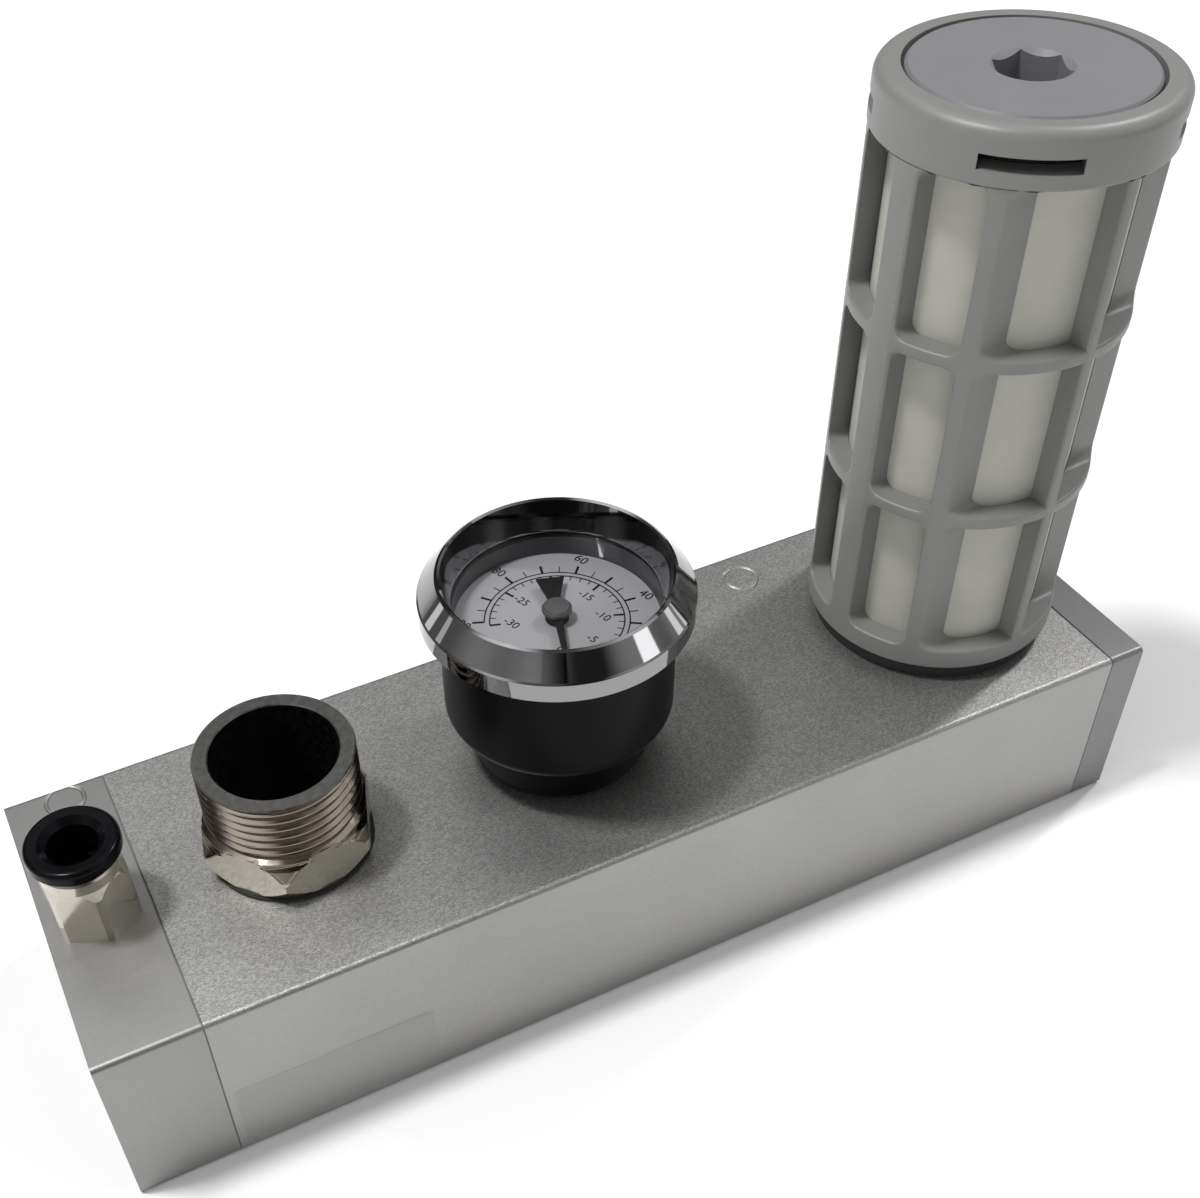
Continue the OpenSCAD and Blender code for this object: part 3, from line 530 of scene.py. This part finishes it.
def thread_tree(material, turns):
    tree, size, calc = growing_tree("pipe_thread", {
        "Major Radius": 0.01322, "Bore Radius": 0.01055, "Pitch": PITCH, "Depth": 0.00110,
        "Top": 0.0151, "Chamfer": 0.00025, "Inner Chamfer": 0.0002,
        "Flat Radius": 0.0135, "Flat Turn": 40.0, "Cone Top": 0.0040, "Cone Slope": 0.4533,
        "Run Out": 0.0019, "Run Out Length": 0.0013, "Turns": turns, "Segments": 288})

    def ramp(value, start, end):
        """0 before start and 1 past end."""
        return add(tree, "ShaderNodeMapRange", {
            "Value": value, "From Min": start, "From Max": end}).outputs[0]

    # the flat grid, and for each of its points the turn and the row
    climbing = calc("MULTIPLY", calc("ADD", size["Turns"], SPARE_TURNS), ROWS_A_TURN)
    rows = calc("ADD", climbing, CLOSING_ROWS)
    grid = add(tree, "GeometryNodeMeshGrid", {
        "Size X": 1.0, "Size Y": 1.0, "Vertices X": calc("ADD", size["Segments"], 1.0),
        "Vertices Y": rows})
    position = add(tree, "GeometryNodeInputPosition").outputs[0]
    spot = add(tree, "ShaderNodeSeparateXYZ", {0: position}).outputs
    turn = calc("ADD", spot["X"], 0.5)
    last = calc("SUBTRACT", rows, 1.0)
    row = calc("ROUND", calc("MULTIPLY", calc("ADD", spot["Y"], 0.5), last))

    # height: a row climbs by one pitch in a turn, and stays between the ends
    step = calc("DIVIDE", calc("SUBTRACT", row, 1.0), ROWS_A_TURN)
    climb = calc("MULTIPLY", calc("ADD", calc("SUBTRACT", step, 1.0), turn), size["Pitch"])
    shoulder = calc("SUBTRACT", size["Top"], size["Chamfer"])
    z = calc("MINIMUM", calc("MAXIMUM", climb, 0.0), shoulder)

    # turned shape: a cylinder on a cone, less the groove
    cone = calc("ADD", size["Flat Radius"], calc(
        "MULTIPLY", calc("SUBTRACT", size["Cone Top"], z), size["Cone Slope"]))
    turned = calc("MAXIMUM", size["Major Radius"], cone)
    groove = ramp(calc("PINGPONG", step, 0.5), FLANK_TOP, FLANK_FOOT)
    start = ramp(z, size["Run Out"], calc("ADD", size["Run Out"], size["Run Out Length"]))
    end = ramp(calc("SUBTRACT", shoulder, z), 0.0, size["Chamfer"])
    cut = calc("MULTIPLY", calc("MULTIPLY", groove, calc("MULTIPLY", start, end)), size["Depth"])
    turned = calc("SUBTRACT", turned, cut)

    # milled flats: no point lies outside the hexagon, whose flats span 60 degrees each
    angle = calc("MULTIPLY", turn, math.tau)
    degrees = calc("SUBTRACT", calc("MULTIPLY", turn, 360.0), size["Flat Turn"])
    off_face = calc("RADIANS", calc("WRAP", degrees, 30.0, -30.0))
    flat = calc("DIVIDE", size["Flat Radius"], calc("COSINE", off_face))
    radius = calc("MINIMUM", turned, flat)

    # the first row closes the bottom, the last four go over the rim and down the bore
    def choose(test, yes, no):
        # a Mix node has its two numbers at inputs 2 and 3
        return add(tree, "ShaderNodeMix", {0: test, 2: no, 3: yes}).outputs[0]

    def past(rows_left):
        return calc("GREATER_THAN", row, calc("SUBTRACT", last, rows_left + 0.5))

    bottom = calc("MAXIMUM", calc("LESS_THAN", row, 0.5), past(0))
    inside = calc("MAXIMUM", bottom, past(1))
    radius = choose(past(3), calc("SUBTRACT", size["Major Radius"], size["Chamfer"]), radius)
    radius = choose(past(2), calc("ADD", size["Bore Radius"], size["Inner Chamfer"]), radius)
    radius = choose(inside, size["Bore Radius"], radius)
    z = choose(past(3), size["Top"], z)
    z = choose(past(1), calc("SUBTRACT", size["Top"], size["Inner Chamfer"]), z)
    z = choose(bottom, 0.0, z)
    place = add(tree, "ShaderNodeCombineXYZ", {
        "X": calc("MULTIPLY", radius, calc("COSINE", angle)),
        "Y": calc("MULTIPLY", radius, calc("SINE", angle)), "Z": z}).outputs[0]
    rolled = add(tree, "GeometryNodeSetPosition", {"Geometry": grid.outputs[0], "Position": place})
    joined = add(tree, "GeometryNodeMergeByDistance", {
        "Geometry": rolled.outputs[0], "Distance": SEAM})
    close_tree(tree, joined.outputs[0], material)
    return tree

# %% [markdown]
# The lower half of the hexagon and the stub below it are right in the CAD
# solid, so a copy of it is cut off at mid-height and closed, and the thread's
# sleeve stands on that cut. The copy's loose triangles are merged first, which
# joins them to one skin. The bore gets a near-black colour, a painted shade for
# the shade deep inside it, and the end face is dull because it was turned after
# plating. Which finish a face gets is read from its distance to the axis and the
# way it looks.

# %% Merged copies and hard edges
SAME_POINT = 0.001 * MM
NO_LENGTH = 0.0001 * MM


def copy_of(name, new_name):
    """A merged copy of a CAD node's mesh."""
    bm = bmesh.new()
    bm.from_mesh(nodes[name].data)
    bmesh.ops.remove_doubles(bm, verts=bm.verts, dist=SAME_POINT)
    bmesh.ops.dissolve_degenerate(bm, dist=NO_LENGTH, edges=bm.edges)
    mesh = bpy.data.meshes.new(new_name)
    bm.to_mesh(mesh)
    bm.free()
    return new_object(new_name, mesh)


def smooth(piece, degrees):
    """Smooth faces, with a hard edge wherever two of them meet at more than this angle."""
    bm = bmesh.new()
    bm.from_mesh(piece.data)
    for face in bm.faces:
        face.smooth = True
    for edge in bm.edges:
        edge.smooth = edge.calc_face_angle(0) < math.radians(degrees)
    bm.to_mesh(piece.data)
    bm.free()

# %% The nipple's finishes
nipple_low, nipple_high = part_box("vacuum_nipple")
nipple_axis = (nipple_low + nipple_high) / 2
CUT = BLOCK_TOP + 6.0 * MM
BORE_EDGE = 10.62 * MM  # radii: just outside the bore, and just outside the crests
CREST_EDGE = 13.4 * MM
END_FACE = 0.25 * MM
# near-black painted shade for the inside of the bores
painted_bore_shade = plated("bare_bore", (0.030, 0.028, 0.026), 0.5, 0.01)


def paint_nipple(piece):
    """Bright outside and on the flats, dull on the end face, a near-black painted
    shade in the bore, and darker nickel with painted shade on the thread and its cone."""
    piece.data.materials.clear()
    for material in (nickel, nickel_face, painted_bore_shade, thread_shade_nickel):
        piece.data.materials.append(material)
    for face in piece.data.polygons:
        away = (face.center - nipple_axis).xy.length
        on_flat = away > CREST_EDGE and face.normal.z < 0.05
        if away < BORE_EDGE:
            face.material_index = 2
        elif face.normal.z > 0.5 and face.center.z > nipple_high.z - END_FACE:
            face.material_index = 1
        elif face.center.z < CUT or on_flat:
            face.material_index = 0
        else:
            face.material_index = 3

# %% Lower half of the hexagon
hexagon = copy_of("vacuum_nipple", "nipple_hexagon")
bm = bmesh.new()
bm.from_mesh(hexagon.data)
bmesh.ops.bisect_plane(bm, geom=bm.verts[:] + bm.edges[:] + bm.faces[:], dist=NO_LENGTH,
                       plane_co=(0, 0, CUT), plane_no=(0, 0, 1), clear_outer=True)
rim = [e for e in bm.edges if e.is_boundary]
bmesh.ops.triangle_fill(bm, edges=rim, use_beauty=True, normal=(0, 0, 1))
open_edges = sum(1 for e in bm.edges if not e.is_manifold)
bm.to_mesh(hexagon.data)
bm.free()
paint_nipple(hexagon)
smooth(hexagon, 20)
print("nipple hexagon, open edges:", open_edges)
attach(hexagon, "ejector")

# %% Sleeve with the thread
sleeve_length = nipple_high.z - CUT
turns = math.ceil(sleeve_length / PITCH)
thread = grow(thread_tree(thread_shade_nickel, turns), "nipple_thread", Top=sleeve_length)
settle(thread, Vector((nipple_axis.x, 0, CUT)))
paint_nipple(thread)
smooth(thread, 25)
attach(thread, "ejector")
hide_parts("vacuum_nipple")
print("thread turns:", turns, "length mm:", round(sleeve_length / MM, 2))

# %% [markdown]
# ## Soft edges on the silencer, crisp ones on the fitting
# A moulding has no sharp edge: the steel of its mould was polished by hand, and
# melted plastic doesn't fill a corner. The CAD cage has exact windows with
# sharp rims, so a merged copy of it gets a bevel on them. A bevel on every edge
# would tear where thin details crowd together, so only the rims on the outer
# skin are chosen. Weighted normals keep the walls flat, so that only the edge
# itself catches the light. The fitting's body goes the same way without a
# bevel: its hexagon keeps crisp narrow corners, and its bore gets the near-black
# painted shade.

# %% Soft copies
OUTWARD_CORNER = math.radians(35)
ROUND_PROFILE = 0.5


def soft_copy(name, material, hard_from, chosen=None, width_mm=0.0, bore_mm=0.0):
    """A copy of a CAD node in which only edges over hard_from degrees stay hard.
    The chosen outward edges are rounded, and faces nearer to its axis than
    bore_mm get the near-black painted shade of a bore."""
    piece = copy_of(name, name + "_soft")
    bm = bmesh.new()
    bm.from_mesh(piece.data)
    picked = [e for e in bm.edges if chosen and e.is_manifold
              and e.calc_face_angle_signed(0) > OUTWARD_CORNER and chosen(e)]
    if picked:
        bmesh.ops.bevel(bm, geom=picked, offset=width_mm * MM, offset_type="OFFSET", segments=3,
                        profile=ROUND_PROFILE, affect="EDGES", clamp_overlap=False)
    open_edges = sum(1 for e in bm.edges if not e.is_manifold)
    bm.to_mesh(piece.data)
    bm.free()
    smooth(piece, hard_from)
    piece.modifiers.new("flat_walls", "WEIGHTED_NORMAL").keep_sharp = True
    mesh = frozen(piece)
    mesh.materials.clear()
    mesh.materials.append(material)
    mesh.materials.append(painted_bore_shade)
    low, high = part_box(name)
    axis = (low + high) / 2
    for face in mesh.polygons:
        away = (face.center - axis).xy.length
        face.material_index = 1 if away < bore_mm * MM else 0
    made = new_object(name + "_soft", mesh)
    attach(made, "ejector")
    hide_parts(name)
    print(made.name, "rounded edges:", len(picked), "open edges:", open_edges)

# %% Silencer cage and fitting
cage_low, cage_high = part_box("silencer_cage")
cage_axis = (cage_low + cage_high) / 2
CAGE_RADIUS = 22.7 * MM
SKIN = 0.3 * MM
RING_HEIGHT = 8.5 * MM
FOOT_HEIGHT = 1.2 * MM


def on_skin(point):
    """Whether a point lies on the cage's outer skin, above its foot and below its ring."""
    away = (point - cage_axis).xy.length
    between = cage_low.z + FOOT_HEIGHT < point.z < cage_high.z - RING_HEIGHT
    return between and abs(away - CAGE_RADIUS) < SKIN


def window_rim(edge):
    return all(on_skin(vert.co) for vert in edge.verts)


soft_copy("silencer_cage", grey_plastic, hard_from=40,
          chosen=window_rim, width_mm=0.45)
soft_copy("fitting_body", nickel, hard_from=20, bore_mm=6.0)

# %% [markdown]
# ## The print on the dial
# The dial has two scales on one pair of thin arcs: long ticks outside with 0 to
# 100, short ticks inside with 0 to -30. A tick is a flat bar, and a scale is
# the same bar at even angles, so one tree with a count, a start and a sweep
# draws them all. The arcs are thin strips, and the numbers are text turned to
# mesh, all upright to the middle of the scale. The ink has a small thickness,
# so that the print is closed solids like everything else.

# %% Scale tree
INK = 0.04 * MM


def scale_tree(material):
    tree, size, calc = growing_tree("dial_scale", {
        "Radius": 0.0121, "Length": 0.002, "Width": 0.0003, "Thickness": INK,
        "Start Angle": 0.0, "Step Angle": 0.1, "Count": 11})

    def vector(x=0.0, y=0.0, z=0.0):
        return add(tree, "ShaderNodeCombineXYZ", {"X": x, "Y": y, "Z": z}).outputs[0]

    bar = add(tree, "GeometryNodeMeshCube", {
        "Size": vector(size["Length"], size["Width"], size["Thickness"])})
    points = add(tree, "GeometryNodePoints", {"Count": size["Count"]})
    index = add(tree, "GeometryNodeInputIndex").outputs[0]
    angle = calc("ADD", size["Start Angle"], calc("MULTIPLY", index, size["Step Angle"]))
    centre = calc("ADD", size["Radius"], calc("MULTIPLY", size["Length"], 0.5))
    place = vector(calc("MULTIPLY", centre, calc("COSINE", angle)),
                   calc("MULTIPLY", centre, calc("SINE", angle)))
    spots = add(tree, "GeometryNodeSetPosition", {
        "Geometry": points.outputs[0], "Position": place})
    bars = add(tree, "GeometryNodeInstanceOnPoints", {
        "Points": spots.outputs[0], "Instance": bar.outputs[0], "Rotation": vector(z=angle)})
    close_tree(tree, bars.outputs[0], material)
    return tree

# %% Ticks
SCALE_ZERO = math.radians(-113.5)
SCALE_SWEEP = math.radians(269.5)
INNER_SWEEP = SCALE_SWEEP * 1.016  # the inner scale ends a little past the outer one
dial_low, dial_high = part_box("gauge_dial")
dial_middle = Vector(((dial_low.x + dial_high.x) / 2, 0, dial_high.z + INK / 2))

ticks = scale_tree(ink)
marks = []


def scale(name, sweep, steps, radius, length, width):
    """Ticks that part the sweep into equal steps. Lengths are in millimetres."""
    marks.append(grow(ticks, name, Radius=radius * MM, Length=length * MM, Width=width * MM,
                      Start_Angle=SCALE_ZERO, Step_Angle=sweep / steps, Count=steps + 1))


scale("outer_tens", SCALE_SWEEP, 10, radius=12.1, length=2.0, width=0.42)
scale("outer_fives", SCALE_SWEEP, 20, radius=12.1, length=1.5, width=0.18)
scale("inner_fives", INNER_SWEEP, 6, radius=9.4, length=1.8, width=0.42)
scale("inner_ones", INNER_SWEEP, 30, radius=10.2, length=1.0, width=0.16)

# %% Arcs and numbers
ARC_WIDTH = 0.22 * MM
ARC_PIECES = 160


def arc(name, radius, sweep):
    """A thin printed arc along a scale: a strip of quads with the ink's thickness."""
    inner = radius - ARC_WIDTH / 2
    outer = radius + ARC_WIDTH / 2
    section = ((inner, -INK / 2), (outer, -INK / 2), (outer, INK / 2), (inner, INK / 2))
    bm = bmesh.new()
    rows = []
    for k in range(ARC_PIECES + 1):
        angle = SCALE_ZERO + sweep * k / ARC_PIECES
        rows.append([bm.verts.new((r * math.cos(angle), r * math.sin(angle), z))
                     for r, z in section])
    for a, b in zip(rows, rows[1:]):
        for j in range(4):
            bm.faces.new((a[j], b[j], b[(j + 1) % 4], a[(j + 1) % 4]))
    bm.faces.new(rows[0])
    bm.faces.new(rows[-1][::-1])
    bmesh.ops.recalc_face_normals(bm, faces=bm.faces)
    mesh = bpy.data.meshes.new(name)
    bm.to_mesh(mesh)
    bm.free()
    return new_object(name, mesh)


def number(value, radius, angle, size):
    """A printed number, upright to the middle of the scale."""
    name = f"number_{value}"
    curve = bpy.data.curves.new(name, "FONT")
    curve.body = str(value)
    curve.size = size
    curve.extrude = INK / 2
    curve.align_x = "CENTER"
    curve.align_y = "CENTER"
    mesh = frozen(new_object(name, curve))
    upright = SCALE_ZERO + SCALE_SWEEP / 2 - math.pi / 2
    place = (radius * math.cos(angle), radius * math.sin(angle), 0)
    mesh.transform(Matrix.Translation(place) @ Matrix.Rotation(upright, 4, "Z"))
    return new_object(name, mesh)


# the arcs, the outer numbers and the inner numbers, each at its own radius
marks.append(arc("outer_arc", 12.1 * MM, SCALE_SWEEP))
marks.append(arc("inner_arc", 11.2 * MM, INNER_SWEEP))
for value in range(0, 101, 20):
    marks.append(number(value, 16.0 * MM, SCALE_ZERO + SCALE_SWEEP * value / 100, 2.5 * MM))
for value in range(0, 31, 5):
    marks.append(number(-value, 7.6 * MM, SCALE_ZERO + INNER_SWEEP * value / 30, 2.2 * MM))

# %% One print
def join(name, parts, material):
    """Joins meshes into one mesh with one material. The parts themselves go."""
    bm = bmesh.new()
    for part in parts:
        bm.from_mesh(part.data)
        bpy.data.objects.remove(part)
    for face in bm.faces:
        face.material_index = 0
    mesh = bpy.data.meshes.new(name)
    bm.to_mesh(mesh)
    bm.free()
    mesh.materials.append(material)
    return new_object(name, mesh)


dial_print = join("dial_print", marks, ink)
settle(dial_print, dial_middle)
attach(dial_print, "ejector")
print("dial print faces:", len(dial_print.data.polygons))
